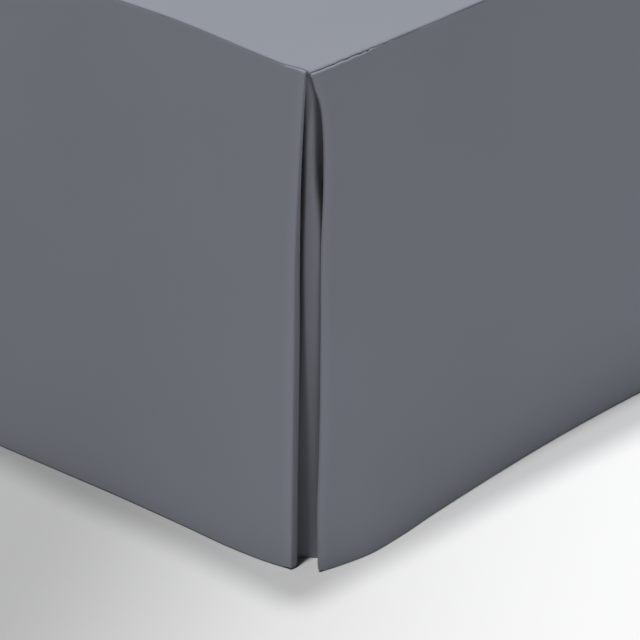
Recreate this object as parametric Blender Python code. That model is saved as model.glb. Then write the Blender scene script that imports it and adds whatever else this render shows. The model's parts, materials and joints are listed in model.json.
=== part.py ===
"""A tailored bed skirt on its bed base: a cloth platform with a foot drop and two side drops.

The drops hang straight and plain, with an inverted pleat at each foot corner. The foot drop runs on
round both corners as the underlay of the pleats, and meets the side drops at a seam hidden inside
each pleat. Metres, +Z up, the floor at z = 0, the head end towards +Y.
"""
import math

import bmesh
import bpy
import numpy as np
from mathutils import Matrix

MM = 0.001

# Bed: a queen platform, with the foot towards -Y
BED_WIDTH = 1.520
BED_LENGTH = 2.030
DROP = 0.380
HEM_CLEARANCE = 0.6 * MM
CLOTH = 1.2 * MM
GAP = 0.3 * MM
PLATFORM_TOP = HEM_CLEARANCE + DROP
DROP_TOP = PLATFORM_TOP - CLOTH - GAP

# Pleat: how far the inner folds lie from the corner, and the layers at the seam and at the hem
FOOT_TUCK = 100 * MM
SIDE_TUCK = 96 * MM
SEAM_LAYER = 1.8 * MM
HEM_LAYER = 4.0 * MM
TUCK_RADIUS_TOP = 0.9 * MM
TUCK_RADIUS_HEM = 1.6 * MM
TUCK_FOLLOWS = 0.6
SEAM_FROM_TUCK = 12 * MM
FOLD_STEPS = 6
RETURN_STEPS = 3
UNDERLAY_ACROSS = (50, 32, 22, 16, 12, 9.5, 7.5, 6, 4.5, 3, 1.5)
CORNER_POWER = 3
BULGE_POWER = 4
CORNER_BLEND = 8 * MM
FOLD_SQUARENESS = 4.5

# Rows of every drop, from the platform's seam (0) to the hem (1), and how the flare grows downwards
ROWS = (0, 0.03, 0.06, 0.12, 0.2, 0.28, 0.36, 0.46, 0.55, 0.65, 0.75, 0.88, 1)
FLARE_POWER = 1.12
PANEL_STEP = 0.11

# Where the open pleat's two folds stand, how round they are, and how the underlay lies behind them.
# down is the share of the drop. The rest is in mm: fold centres along each side from the corner, their
# radii, how far the underlay hollows back from the corner, how deep it lies behind each side there, and
# its bulge: how far it comes forward, where across the corner, and half its width towards each side.
PLEAT_COLUMNS = (
    "down", "foot_fold", "foot_radius", "side_fold", "side_radius",
    "hollow", "foot_depth", "side_depth", "bulge", "bulge_at", "foot_half", "side_half",
)
PLEAT = (
    (0.00, 4.6, 0.8, 3.9, 0.8, 2.0, 3.6, 3.6, 0.0, 0.0, 4.0, 5.0),
    (0.03, 5.8, 1.0, 7.2, 0.9, 5.0, 3.8, 3.7, 2.0, 0.2, 4.0, 4.5),
    (0.06, 7.1, 1.2, 11.6, 0.9, 8.0, 4.6, 3.8, 4.8, 0.5, 4.4, 4.0),
    (0.12, 9.0, 1.4, 15.4, 1.0, 13.0, 7.0, 4.0, 11.7, 0.6, 5.2, 4.3),
    (0.20, 11.2, 1.7, 16.0, 1.0, 16.0, 9.0, 3.8, 15.0, 0.6, 5.8, 4.8),
    (0.36, 15.3, 3.0, 12.7, 0.9, 16.0, 8.2, 2.4, 11.4, 0.6, 7.6, 12.0),
    (0.55, 16.2, 3.6, 11.4, 0.9, 15.0, 7.0, 2.0, 5.6, 0.6, 8.6, 14.0),
    (0.75, 16.6, 3.7, 9.8, 1.0, 14.0, 6.0, 4.0, 0.4, 0.5, 9.0, 14.0),
    (0.90, 16.4, 3.6, 8.0, 1.2, 14.0, 5.0, 5.0, -1.2, 1.0, 10.0, 12.0),
    (1.00, 16.2, 3.5, 8.2, 1.3, 14.0, 4.6, 3.9, -2.8, 1.0, 10.0, 12.0),
)

# How each side of the skirt wanders, in mm: the distance along it from the photographed corner or, on
# the far side drop, from the other foot corner, how far the seam and the hem stand out, and how far the
# hem rises.
EDGE_COLUMNS = ("along", "seam_out", "hem_out", "hem_rise")
FOOT_EDGE = (
    (0, 0.0, 2.5, 0.0),
    (15, 0.0, 5.3, 0.0),
    (30, 0.1, 8.8, 0.0),
    (58, 0.0, 12.7, 0.0),
    (110, -1.0, 15.2, 0.0),
    (140, -0.2, 16.6, 0.0),
    (176, 3.0, 18.7, 0.0),
    (230, 5.8, 22.8, -0.1),
    (300, 5.6, 28.2, -0.1),
    (480, 3.0, 24.0, 0.2),
    (760, 0.0, 9.0, 0.9),
    (1040, 0.0, 15.0, 0.4),
    (1250, 1.0, 11.0, 0.0),
    (1450, 0.5, 12.0, 0.0),
    (1505, 0.0, 6.0, 0.0),
    (1520, 0.0, 3.0, 0.0),
)
NEAR_SIDE_EDGE = (
    (0, 0.0, 2.0, 0.0),
    (11, 0.0, 4.5, 0.0),
    (22, 0.0, 6.8, 0.0),
    (48, -0.8, 10.5, 0.0),
    (81, -1.4, 8.5, 0.0),
    (120, -1.6, 3.1, 0.0),
    (175, -3.2, -3.2, 0.0),
    (250, -3.4, -10.3, 0.1),
    (360, -2.5, -15.1, 0.2),
    (560, -1.0, -7.6, 0.8),
    (860, 0.0, 10.0, 0.4),
    (1200, 1.0, 15.0, 0.0),
    (1550, 0.0, 3.0, 0.0),
    (1850, 0.0, 9.0, 0.0),
    (2030, 0.0, 5.0, 0.0),
)
FAR_SIDE_EDGE = (
    (0, 0.0, 2.5, 0.0),
    (20, 0.0, 6.0, 0.0),
    (60, -1.0, 9.0, 0.0),
    (150, -1.0, 4.0, 0.1),
    (400, 0.0, -5.0, 0.7),
    (700, 0.0, 8.0, 0.3),
    (1100, 1.0, 12.0, 0.0),
    (1500, 0.0, -3.0, 0.6),
    (1800, 0.0, 7.0, 0.0),
    (2030, 0.0, 4.0, 0.0),
)

# Bed base: a plain block that stands in from the cloth, on square legs
BASE_INSET = 14 * MM
BASE_HEAD_INSET = 4 * MM
BASE_BOTTOM = 0.160
BASE_TOP = PLATFORM_TOP - CLOTH - GAP
BASE_CORNER = 50 * MM
BASE_CORNER_STEPS = 6
BASE_TOP_ROUND = 8 * MM
BASE_BOTTOM_ROUND = 4 * MM
LEG_WIDTH_TOP = 64 * MM
LEG_WIDTH_FOOT = 46 * MM
LEG_CHAMFER = 4 * MM
LEG_INSET = 0.130

SLATE = (0.29, 0.30, 0.34)


def clear_scene():
    for item in list(bpy.data.objects):
        bpy.data.objects.remove(item, do_unlink=True)


def principled(name, color, roughness):
    material = bpy.data.materials.new(name)
    material.use_nodes = True
    shader = material.node_tree.nodes["Principled BSDF"]
    shader.inputs["Base Color"].default_value = (*color, 1)
    shader.inputs["Roughness"].default_value = roughness
    return material


def column(rows, columns, name):
    return np.array([row[columns.index(name)] for row in rows], float)


def smooth(at, knots, values):
    """A smooth curve through values at knots, read at one place or several."""
    slopes = np.gradient(values, knots)
    at = np.clip(at, knots[0], knots[-1])
    i = np.clip(np.searchsorted(knots, at, side="right") - 1, 0, len(knots) - 2)
    width = knots[i + 1] - knots[i]
    t = (at - knots[i]) / width
    rise = values[i + 1] - values[i]
    a = slopes[i] * width - rise
    b = rise - slopes[i + 1] * width
    return values[i] + t * rise + t * (1 - t) * (a * (1 - t) + b * t)


def ease(t):
    return t * t * (3 - 2 * t)


def squared(value):
    """Turns a circle's sine or cosine into that of a square with round corners."""
    return math.copysign(abs(value) ** (2 / FOLD_SQUARENESS), value)


def edge(rows, name, along):
    """One column of a side's table, in metres, at a distance along that side."""
    knots = column(rows, EDGE_COLUMNS, "along") * MM
    return smooth(along, knots, column(rows, EDGE_COLUMNS, name) * MM)


def pleat(name, down):
    return smooth(down, column(PLEAT, PLEAT_COLUMNS, "down"), column(PLEAT, PLEAT_COLUMNS, name)) * MM


class Corner:
    """A foot corner. A place on a side is a distance along it and a depth behind its seam."""

    def __init__(self, sign, foot_rows, side_rows, foot_from_here):
        self.sign = sign
        self.rows = {"foot": foot_rows, "side": side_rows}
        self.foot_from_here = foot_from_here

    def edge(self, side, name, along):
        if side == "foot" and not self.foot_from_here:
            along = BED_WIDTH - along
        return edge(self.rows[side], name, along)

    def flare(self, side, along, down):
        """How far the drop stands out past its seam, at a height."""
        hem_past_seam = self.edge(side, "hem_out", along) - self.edge(side, "seam_out", along)
        return hem_past_seam * down**FLARE_POWER

    def place(self, side, along, depth):
        depth -= self.edge(side, "seam_out", along)
        if side == "foot":
            x, y = BED_WIDTH / 2 - along, -BED_LENGTH / 2 + depth
        else:
            x, y = BED_WIDTH / 2 - depth, -BED_LENGTH / 2 + along
        return self.sign * x, y

    def behind(self, side, across, back):
        """A place given by its distances across and straight behind the corner's diagonal."""
        return self.place(side, (across + back) / math.sqrt(2), (back - across) / math.sqrt(2))


def tuck(corner, side, down):
    """The inner fold of a pleat: its radius, and the place of the underlay's end at it."""
    reach = FOOT_TUCK if side == "foot" else SIDE_TUCK
    radius = TUCK_RADIUS_TOP + (TUCK_RADIUS_HEM - TUCK_RADIUS_TOP) * down
    layer = SEAM_LAYER + (HEM_LAYER - SEAM_LAYER) * down
    depth = layer - TUCK_FOLLOWS * corner.flare(side, reach, down) + 2 * radius
    return reach, depth, radius


def tuck_fold(corner, side, down):
    """The inner fold, from the underlay to the return."""
    reach, depth, radius = tuck(corner, side, down)
    turns = np.linspace(0, math.pi, FOLD_STEPS + 1)
    return [
        corner.place(side, reach + radius * math.sin(t), depth - radius + radius * math.cos(t)) for t in turns
    ]


def outer_fold(corner, side, down):
    """The fold beside the opening, from the return to the panel, and where the two leave it."""
    centre, radius = pleat(side + "_fold", down), pleat(side + "_radius", down)
    depth = radius - corner.flare(side, centre, down)
    turns = np.linspace(0, math.pi, FOLD_STEPS + 1)
    points = [
        corner.place(side, centre - radius * squared(math.sin(t)), depth + radius * squared(math.cos(t)))
        for t in turns
    ]
    return points, centre, depth + radius


def return_layer(corner, side, down, start_share):
    """The layer that runs back from the outer fold to the inner one, without its two ends."""
    reach, depth, radius = tuck(corner, side, down)
    _, near, near_depth = outer_fold(corner, side, down)
    far_depth = depth - 2 * radius
    shares = np.linspace(start_share, 1, RETURN_STEPS + 1)[:-1]
    return [
        corner.place(side, reach + (near - reach) * s, far_depth + (near_depth - far_depth) * ease(s))
        for s in shares
    ]


def underlay(corner, down):
    """The layer behind the corner, from the side's inner fold round to the foot's, without its ends."""
    names = ("hollow", "foot_depth", "side_depth", "bulge", "bulge_at", "foot_half", "side_half")
    hollow, foot_depth, side_depth, bulge, bulge_at, foot_half, side_half = (pleat(n, down) for n in names)
    points = []
    for across in [*UNDERLAY_ACROSS, 0, *(-a for a in reversed(UNDERLAY_ACROSS))]:
        across *= MM
        side = "side" if across > 0 else "foot"
        reach, end_depth, _ = tuck(corner, side, down)
        side_share = min(max((across / CORNER_BLEND + 1) / 2, 0), 1)
        depth = foot_depth + (side_depth - foot_depth) * ease(side_share)
        share = min(abs(across) * math.sqrt(2) / reach, 1)
        layer = depth + (end_depth - depth) * ease(share)
        round_corner = (abs(across) ** CORNER_POWER + hollow**CORNER_POWER) ** (1 / CORNER_POWER)
        half_width = side_half if across > bulge_at else foot_half
        swell = bulge * math.exp(-((abs(across - bulge_at) / half_width) ** BULGE_POWER))
        points.append(corner.behind(side, abs(across), round_corner + math.sqrt(2) * layer - swell))
    return points


def pleat_run(corner, down):
    """One corner of the foot drop in plan, from the hidden seam on the side to the foot's panel."""
    reach, depth, radius = tuck(corner, "side", down)
    _, near, near_depth = outer_fold(corner, "side", down)
    seam_share = SEAM_FROM_TUCK / (reach - near)
    far_depth = depth - 2 * radius
    seam_depth = far_depth + (near_depth - far_depth) * ease(seam_share)
    seam = corner.place("side", reach - SEAM_FROM_TUCK, seam_depth)
    fold, _, _ = outer_fold(corner, "foot", down)
    return [
        seam,
        *reversed(tuck_fold(corner, "side", down)),
        *underlay(corner, down),
        *tuck_fold(corner, "foot", down),
        *return_layer(corner, "foot", down, 0)[1:],
        *fold,
    ]


def panel_stops(start, end):
    """Distances along a panel, closer together towards an end that has a pleat."""
    near = [start + MM * d for d in (10, 25, 45, 75)]
    count = round((end - near[-1]) / PANEL_STEP)
    return [*near, *np.linspace(near[-1], end, count + 1)[1:]]


def foot_path(down):
    """The foot drop in plan, from the near side's seam, round both corners, to the far side's seam."""
    near, far = CORNERS
    start = pleat("foot_fold", down)
    half = panel_stops(start, BED_WIDTH / 2)
    stops = [*half, *(BED_WIDTH - stop for stop in reversed(half[:-1]))]
    panel = [near.place("foot", stop, -near.flare("foot", stop, down)) for stop in stops]
    return [*pleat_run(near, down), *panel, *reversed(pleat_run(far, down))]


def side_path(corner, down):
    """A side drop in plan, from the hidden seam, round its fold, to the head end."""
    reach, _, _ = tuck(corner, "side", down)
    fold, start, _ = outer_fold(corner, "side", down)
    seam_share = (SEAM_FROM_TUCK + GAP) / (reach - start)
    stops = panel_stops(start, BED_LENGTH)
    panel = [corner.place("side", stop, -corner.flare("side", stop, down)) for stop in stops]
    return [*return_layer(corner, "side", down, seam_share), *fold, *panel]


def hem_height(x, y):
    """The hem's height over the floor at a place in plan."""
    foot_share = (x + BED_WIDTH / 2) / BED_WIDTH
    rise = edge(FOOT_EDGE, "hem_rise", (1 - foot_share) * BED_WIDTH)
    rows = NEAR_SIDE_EDGE if x > 0 else FAR_SIDE_EDGE
    along = y + BED_LENGTH / 2
    on_side = ease(min(max(along / SIDE_TUCK, 0), 1))
    return HEM_CLEARANCE + rise + (edge(rows, "hem_rise", along) - rise) * on_side


def cloth_solid(name, material, path):
    """A sheet of cloth, CLOTH thick, as one closed solid: path gives its plan at each of ROWS."""
    plans = [np.array(path(down)) for down in ROWS]
    hems = [hem_height(x, y) for x, y in plans[-1]]
    mesh = bmesh.new()
    skins = ([], [])
    for down, plan in zip(ROWS, plans):
        run = np.gradient(plan, axis=0)
        run /= np.linalg.norm(run, axis=1)[:, None]
        aside = np.stack([run[:, 1], -run[:, 0]], axis=1) * CLOTH / 2
        heights = [DROP_TOP + (hem - DROP_TOP) * down for hem in hems]
        for skin, sign in zip(skins, (1, -1)):
            points = plan + sign * aside
            skin.append([mesh.verts.new((x, y, z)) for (x, y), z in zip(points, heights)])
    rims = []
    for skin in skins:
        for upper, lower in zip(skin, skin[1:]):
            for i in range(len(upper) - 1):
                mesh.faces.new((upper[i], upper[i + 1], lower[i + 1], lower[i]))
        down_start = [row[0] for row in skin]
        up_end = [row[-1] for row in reversed(skin)]
        rims.append(down_start + skin[-1][1:-1] + up_end + skin[0][-2:0:-1])
    outer, inner = rims
    for i in range(len(outer)):
        j = (i + 1) % len(outer)
        mesh.faces.new((outer[i], outer[j], inner[j], inner[i]))
    return finished(name, mesh, material)


def finished(name, mesh, material):
    bmesh.ops.recalc_face_normals(mesh, faces=mesh.faces)
    data = bpy.data.meshes.new(name)
    mesh.to_mesh(data)
    mesh.free()
    data.materials.append(material)
    data.shade_smooth()
    data.set_sharp_from_angle(angle=math.radians(40))
    item = bpy.data.objects.new(name, data)
    bpy.context.scene.collection.objects.link(item)
    return item


def stacked(name, rings, material):
    """A closed solid from rings of points, lowest first."""
    mesh = bmesh.new()
    loops = [[mesh.verts.new(point) for point in ring] for ring in rings]
    for low, high in zip(loops, loops[1:]):
        for i in range(len(low)):
            j = (i + 1) % len(low)
            mesh.faces.new((low[i], low[j], high[j], high[i]))
    mesh.faces.new(loops[0])
    mesh.faces.new(loops[-1])
    return finished(name, mesh, material)


def platform_outline():
    """The platform's edge in plan, over the drops' outer skins, round from the near foot corner."""
    near, far = CORNERS
    over = CLOTH / 2
    foot = panel_stops(0, BED_WIDTH / 2)
    foot = [0, *foot, *(BED_WIDTH - stop for stop in reversed(foot[:-1])), BED_WIDTH]
    side = [*panel_stops(0, BED_LENGTH)]
    points = [near.place("side", stop, -over) for stop in reversed(side)]
    points.append(near.place("foot", -over, -over))
    points += [near.place("foot", stop, -over) for stop in foot[1:-1]]
    points.append(far.place("foot", -over, -over))
    points += [far.place("side", stop, -over) for stop in side]
    return points


def platform(material):
    outline = platform_outline()
    rings = [[(x, y, z) for x, y in outline] for z in (PLATFORM_TOP - CLOTH, PLATFORM_TOP)]
    return stacked("platform", rings, material)


def rounded_rectangle(half_x, low_y, high_y, radius, inset, z):
    points = []
    corners = ((1, 1), (-1, 1), (-1, -1), (1, -1))
    for quarter, (sx, sy) in enumerate(corners):
        cx = sx * (half_x - radius)
        cy = high_y - radius if sy > 0 else low_y + radius
        for step in range(BASE_CORNER_STEPS + 1):
            turn = math.pi / 2 * (quarter + step / BASE_CORNER_STEPS)
            points.append((cx + (radius - inset) * math.cos(turn), cy + (radius - inset) * math.sin(turn), z))
    return points


def bed_base(material):
    """The block under the platform, its top and bottom edges rounded."""
    levels = (
        (BASE_BOTTOM_ROUND, BASE_BOTTOM),
        (0, BASE_BOTTOM + BASE_BOTTOM_ROUND),
        (0, BASE_TOP - BASE_TOP_ROUND),
        (BASE_TOP_ROUND * 0.3, BASE_TOP - BASE_TOP_ROUND * 0.3),
        (BASE_TOP_ROUND, BASE_TOP),
    )
    half_x = BED_WIDTH / 2 - BASE_INSET
    low_y = -BED_LENGTH / 2 + BASE_INSET
    high_y = BED_LENGTH / 2 - BASE_HEAD_INSET
    rings = [rounded_rectangle(half_x, low_y, high_y, BASE_CORNER, inset, z) for inset, z in levels]
    return stacked("bed_base", rings, material)


def leg(name, x, y, material):
    """A square leg with chamfered corners, narrower at the floor."""
    rings = []
    for width, z in ((LEG_WIDTH_FOOT, 0), (LEG_WIDTH_TOP, BASE_BOTTOM - GAP)):
        half, cut = width / 2, width / 2 - LEG_CHAMFER
        corners = (
            (half, cut), (cut, half), (-cut, half), (-half, cut),
            (-half, -cut), (-cut, -half), (cut, -half), (half, -cut),
        )
        rings.append([(x + dx, y + dy, z) for dx, dy in corners])
    return stacked(name, rings, material)


def legs(material):
    across = BED_WIDTH / 2 - LEG_INSET
    along = BED_LENGTH / 2 - LEG_INSET
    for place, y in (("foot", -along), ("middle", 0), ("head", along)):
        for side, x in (("near", across), ("far", -across)):
            leg(f"leg_{place}_{side}", x, y, material)


CORNERS = (
    Corner(1, FOOT_EDGE, NEAR_SIDE_EDGE, True),
    Corner(-1, FOOT_EDGE, FAR_SIDE_EDGE, False),
)


def centre_over_origin():
    """Moves everything so that its box is centred on the origin, for the drops stand out unevenly."""
    items = [item for item in bpy.context.scene.objects if item.type == "MESH"]
    places = np.array([vert.co[:] for item in items for vert in item.data.vertices])
    middle = (places.min(axis=0) + places.max(axis=0)) / 2
    for item in items:
        item.data.transform(Matrix.Translation((-middle[0], -middle[1], 0)))


def main():
    clear_scene()
    near, far = CORNERS
    platform(principled("platform_cloth", SLATE, 0.9))
    cloth_solid("foot_drop", principled("foot_cloth", SLATE, 0.9), foot_path)
    cloth_solid("side_drop_near", principled("near_side_cloth", SLATE, 0.9), lambda down: side_path(near, down))
    cloth_solid("side_drop_far", principled("far_side_cloth", SLATE, 0.9), lambda down: side_path(far, down))
    bed_base(principled("base_cover", (0.62, 0.60, 0.55), 0.9))
    legs(principled("leg_wood", (0.36, 0.21, 0.11), 0.5))
    centre_over_origin()


main()
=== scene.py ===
"""Looks of a tailored bed skirt on its bed base.

A smooth slate-grey microfibre skirt: the platform under the mattress, a foot drop and two side drops,
with an inverted pleat that opens a little at each foot corner. Each cloth is one thin sheet, on the same
folds as the frame's solid, with its seam, its turned hem and its stitches. Lengths are in metres, but the
tables of the cloth give theirs in millimetres.
"""
import json
import math
from functools import partial

import bmesh
import bpy
import numpy as np
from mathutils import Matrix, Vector

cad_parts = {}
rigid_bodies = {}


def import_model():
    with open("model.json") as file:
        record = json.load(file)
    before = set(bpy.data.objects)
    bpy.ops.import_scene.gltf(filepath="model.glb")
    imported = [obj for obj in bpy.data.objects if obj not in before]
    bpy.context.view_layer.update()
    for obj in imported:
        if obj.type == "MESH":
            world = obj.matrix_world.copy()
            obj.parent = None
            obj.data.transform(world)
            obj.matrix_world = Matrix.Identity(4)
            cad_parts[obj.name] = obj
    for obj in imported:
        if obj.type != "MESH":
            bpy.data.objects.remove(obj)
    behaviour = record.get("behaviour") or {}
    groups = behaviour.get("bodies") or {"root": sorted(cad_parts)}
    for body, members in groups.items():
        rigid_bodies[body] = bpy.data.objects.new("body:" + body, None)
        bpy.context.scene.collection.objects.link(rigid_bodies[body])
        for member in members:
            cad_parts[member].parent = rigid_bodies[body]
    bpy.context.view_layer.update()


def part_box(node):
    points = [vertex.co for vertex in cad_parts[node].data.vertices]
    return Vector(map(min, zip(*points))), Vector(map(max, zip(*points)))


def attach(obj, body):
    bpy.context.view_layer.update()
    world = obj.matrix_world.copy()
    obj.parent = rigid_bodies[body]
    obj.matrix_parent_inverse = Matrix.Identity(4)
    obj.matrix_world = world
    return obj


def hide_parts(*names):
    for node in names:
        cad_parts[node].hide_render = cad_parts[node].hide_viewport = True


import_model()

MM = 0.001

# Places read from the frame
BASE_LOW, BASE_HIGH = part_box("bed_base")
PLATFORM_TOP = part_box("platform")[1].z
BASE_INSET = 14 * MM
BED_WIDTH = BASE_HIGH.x - BASE_LOW.x + 2 * BASE_INSET
BED_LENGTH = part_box("platform")[1].y - BASE_LOW.y + BASE_INSET
MIDDLE_X = (BASE_LOW.x + BASE_HIGH.x) / 2
FOOT_Y = BASE_LOW.y - BASE_INSET

# The cloth
SHEET = 0.5 * MM
# Painted light, a factor on the cloth's colour: painted shade inside the pleats, and a painted highlight on
# their creases and on a short width of panel beside them
PAINTED_PLEAT_SHADE = 0.84
PAINTED_CREASE_HIGHLIGHT = 1.07
CREASE_HIGHLIGHT_WIDTH = 8 * MM
CLOTH_TOP = PLATFORM_TOP - SHEET / 2
HEM_CLEARANCE = 0.6 * MM
FRAME_SHEET = 1.5 * MM
DROP_TOP = PLATFORM_TOP - FRAME_SHEET

# The hems. A drop's own hem goes round its side hem at the head end, where it is three layers deep.
HEM_LAYER = 1.1 * MM
SIDE_HEM = 15 * MM
SIDE_HEM_TURN_STEPS = 6
HEM_LAYERS_AT_HEAD = 3
HEM_DEEPENS_BEFORE = 5 * MM
HEM_DEEPENS_OVER = 4 * MM

# Stitches: blind ones along the inside of each hem, and straight ones along the head end
HEM_STITCH_UP = 20 * MM
HEAD_STITCH_IN = 13 * MM
SEAM_TO_STITCHES = 6 * MM
HEM_TO_STITCHES = 4 * MM
HEAD_LINE_POINTS = 40
BLIND_STEP = 6 * MM
BLIND_LENGTH = 2.6 * MM
STRAIGHT_STEP = 3.2 * MM
STRAIGHT_LENGTH = 2.7 * MM
THREAD = 0.36 * MM
STITCH_TURN = 0.07
STITCH_SEED = 4

# The pleats, in the same sizes as the frame's. In the table, down is the share of the drop above a row.
FOOT_TUCK = 100 * MM
SIDE_TUCK = 96 * MM
LAYER_AT_SEAM = 1.8 * MM
LAYER_AT_HEM = 4.0 * MM
TUCK_RADIUS_TOP = 0.9 * MM
TUCK_RADIUS_HEM = 1.6 * MM
TUCK_FOLLOWS = 0.6
SEAM_FROM_TUCK = 12 * MM
SEAM_GAP = 2 * SHEET
FLARE_POWER = 1.12
CORNER_POWER = 3
BULGE_POWER = 4
CORNER_BLEND = 8 * MM
FOLD_SQUARENESS = 4.5
FOLD_LIFT = 5.0 * MM
TIP_LIFT = 0.9 * MM
TIP_WIDTH = 4 * MM
FOLD_LIFT_FADES = 0.35
# Where on the outer fold's turn its painted shade gives way to its painted highlight
FOLD_HIGHLIGHT_FROM = 0.55
FOLD_HIGHLIGHT_OVER = 0.3
PLEAT_COLUMNS = (
    "down", "foot_fold", "foot_radius", "side_fold", "side_radius",
    "hollow", "foot_depth", "side_depth", "bulge", "bulge_at", "foot_half", "side_half",
)
PLEAT = (
    (0.00, 4.6, 0.8, 3.9, 0.8, 2.0, 3.6, 3.6, 0.0, 0.0, 4.0, 5.0),
    (0.03, 5.8, 1.0, 7.2, 0.9, 5.0, 3.8, 3.7, 2.0, 0.2, 4.0, 4.5),
    (0.06, 7.1, 1.2, 11.6, 0.9, 8.0, 4.6, 3.8, 4.8, 0.5, 4.4, 4.0),
    (0.12, 9.0, 1.4, 15.4, 1.0, 13.0, 7.0, 4.0, 11.7, 0.6, 5.2, 4.3),
    (0.20, 11.2, 1.7, 16.0, 1.0, 16.0, 9.0, 3.8, 15.0, 0.6, 5.8, 4.8),
    (0.36, 15.3, 3.0, 12.7, 0.9, 16.0, 8.2, 2.4, 11.4, 0.6, 7.6, 12.0),
    (0.55, 16.2, 3.6, 11.4, 0.9, 15.0, 7.0, 2.0, 5.6, 0.6, 8.6, 14.0),
    (0.75, 16.6, 3.7, 9.8, 1.0, 14.0, 6.0, 4.0, 0.4, 0.5, 9.0, 14.0),
    (0.90, 16.4, 3.6, 8.0, 1.2, 14.0, 5.0, 5.0, -1.2, 1.0, 10.0, 12.0),
    (1.00, 16.2, 3.5, 8.2, 1.3, 14.0, 4.6, 3.9, -2.8, 1.0, 10.0, 12.0),
)

# How each side wanders along its length
EDGE_COLUMNS = ("along", "seam_out", "hem_out", "hem_rise")
FOOT_EDGE = (
    (0, 0.0, 2.5, 0.0),
    (15, 0.0, 5.3, 0.0),
    (30, 0.1, 8.8, 0.0),
    (58, 0.0, 12.7, 0.0),
    (110, -1.0, 15.2, 0.0),
    (140, -0.2, 16.6, 0.0),
    (176, 3.0, 18.7, 0.0),
    (230, 5.8, 22.8, -0.1),
    (300, 5.6, 28.2, -0.1),
    (480, 3.0, 24.0, 0.2),
    (760, 0.0, 9.0, 0.9),
    (1040, 0.0, 15.0, 0.4),
    (1250, 1.0, 11.0, 0.0),
    (1450, 0.5, 12.0, 0.0),
    (1505, 0.0, 6.0, 0.0),
    (1520, 0.0, 3.0, 0.0),
)
NEAR_SIDE_EDGE = (
    (0, 0.0, 2.0, 0.0),
    (11, 0.0, 4.5, 0.0),
    (22, 0.0, 6.8, 0.0),
    (48, -0.8, 10.5, 0.0),
    (81, -1.4, 8.5, 0.0),
    (120, -1.6, 3.1, 0.0),
    (175, -3.2, -3.2, 0.0),
    (250, -3.4, -10.3, 0.1),
    (360, -2.5, -15.1, 0.2),
    (560, -1.0, -7.6, 0.8),
    (860, 0.0, 10.0, 0.4),
    (1200, 1.0, 15.0, 0.0),
    (1550, 0.0, 3.0, 0.0),
    (1850, 0.0, 9.0, 0.0),
    (2030, 0.0, 5.0, 0.0),
)
FAR_SIDE_EDGE = (
    (0, 0.0, 2.5, 0.0),
    (20, 0.0, 6.0, 0.0),
    (60, -1.0, 9.0, 0.0),
    (150, -1.0, 4.0, 0.1),
    (400, 0.0, -5.0, 0.7),
    (700, 0.0, 8.0, 0.3),
    (1100, 1.0, 12.0, 0.0),
    (1500, 0.0, -3.0, 0.6),
    (1800, 0.0, 7.0, 0.0),
    (2030, 0.0, 4.0, 0.0),
)

# How the platform's seam lies: on_side is 0 where its groove opens upwards, just inside the edge, and 1
# where the platform rolls over the edge and the groove faces out. open is 0 where it is pressed flat.
SEAM_COLUMNS = ("along", "on_side", "open")
FOOT_SEAM = (
    (0, 0.1, 0.95), (9, 0.1, 0.85), (15, 0.1, 0.55), (21, 0.2, 0.15), (28, 0.3, 0.0),
    (38, 0.3, 0.0), (50, 0.3, 0.0), (1520, 0.3, 0.0),
)
SIDE_SEAM = (
    (0, 0.45, 1.0), (6, 0.6, 1.0), (24, 0.68, 1.0), (38, 0.7, 1.0), (50, 0.8, 1.0),
    (57, 0.8, 0.8), (66, 0.4, 0.0), (75, 0.4, 0.0), (90, 0.4, 0.0), (2030, 0.4, 0.0),
)

# Where the side's seam puckers: how far its ridge stands up or sinks. The shares say how much of it each
# row of a cross-section takes, on the drop's side of the seam and on the platform's.
PUCKER_COLUMNS = ("along", "up")
PUCKERS = (
    (0, 0.0), (16, 0.0), (20, 0.15), (24, -0.3), (28, 0.2), (33, 0.25), (37, -0.6), (41, 0.2),
    (46, 0.3), (51, -0.2), (54, 0.6), (57, -0.6), (60, 0.5), (64, -0.5), (68, 0.4), (72, -0.4),
    (77, 0.2), (83, -0.1), (90, 0.0), (98, 0.0), (110, 0.0), (2030, 0.0),
)
PUCKER_LEANS_OUT = 0.5
PUCKER_ON_DROP = (0, 0.1, 0.4, 1, 1, 0.6, 0)
PUCKER_ON_PLATFORM = (0, 0.6, 1, 0.8, 0.4, 0, 0)

# Cross-sections of the seam, as rows of out and up in mm from the edge of the platform: the platform's
# side of it and the drop's, for a groove that opens upwards, one that faces out and a flat one
PLATFORM_GROOVE_UP = (
    (-7, 0), (-5.2, 0), (-4.3, -0.08), (-3.8, -0.4), (-3.6, -1.0), (-3.55, -1.8), (-3.55, -2.6),
)
PLATFORM_GROOVE_OUT = (
    (-7, 0), (-2.4, 0), (-1.0, -0.2), (-0.2, -0.8), (0.05, -1.4), (-0.3, -1.8), (-1.6, -1.95),
)
PLATFORM_FLAT = (
    (-7, 0), (-2.6, 0), (-1.0, -0.08), (-0.3, -0.45), (0, -1.0), (-0.1, -1.4), (-1.0, -1.55),
)
DROP_GROOVE_UP = (
    (0, -4.5), (0, -2.4), (-0.05, -1.0), (-0.45, -0.25), (-1.1, 0), (-1.75, -0.3), (-2.1, -2.0),
)
DROP_GROOVE_OUT = (
    (0, -4.8), (0.2, -4.2), (0.3, -3.8), (0.2, -3.4), (-0.2, -3.15), (-0.9, -3.1), (-1.6, -3.2),
)
DROP_FLAT = (
    (0, -4.5), (0, -3.4), (0, -2.4), (0, -1.75), (-0.15, -1.72), (-0.6, -2.0), (-1.2, -2.2),
)
RETURN_TOP = -3.0 * MM
UNDERLAY_TOP = -0.9 * MM

# The turned hem, as rows of layers back and mm up from the fold at the bottom
HEM_TURN = (
    (0, 0.9), (0.06, 0.3), (0.28, 0.0), (0.72, 0.0), (0.94, 0.3),
    (1, 0.9), (1, 5), (1, 11), (1, 17), (1, 22),
)

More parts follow.
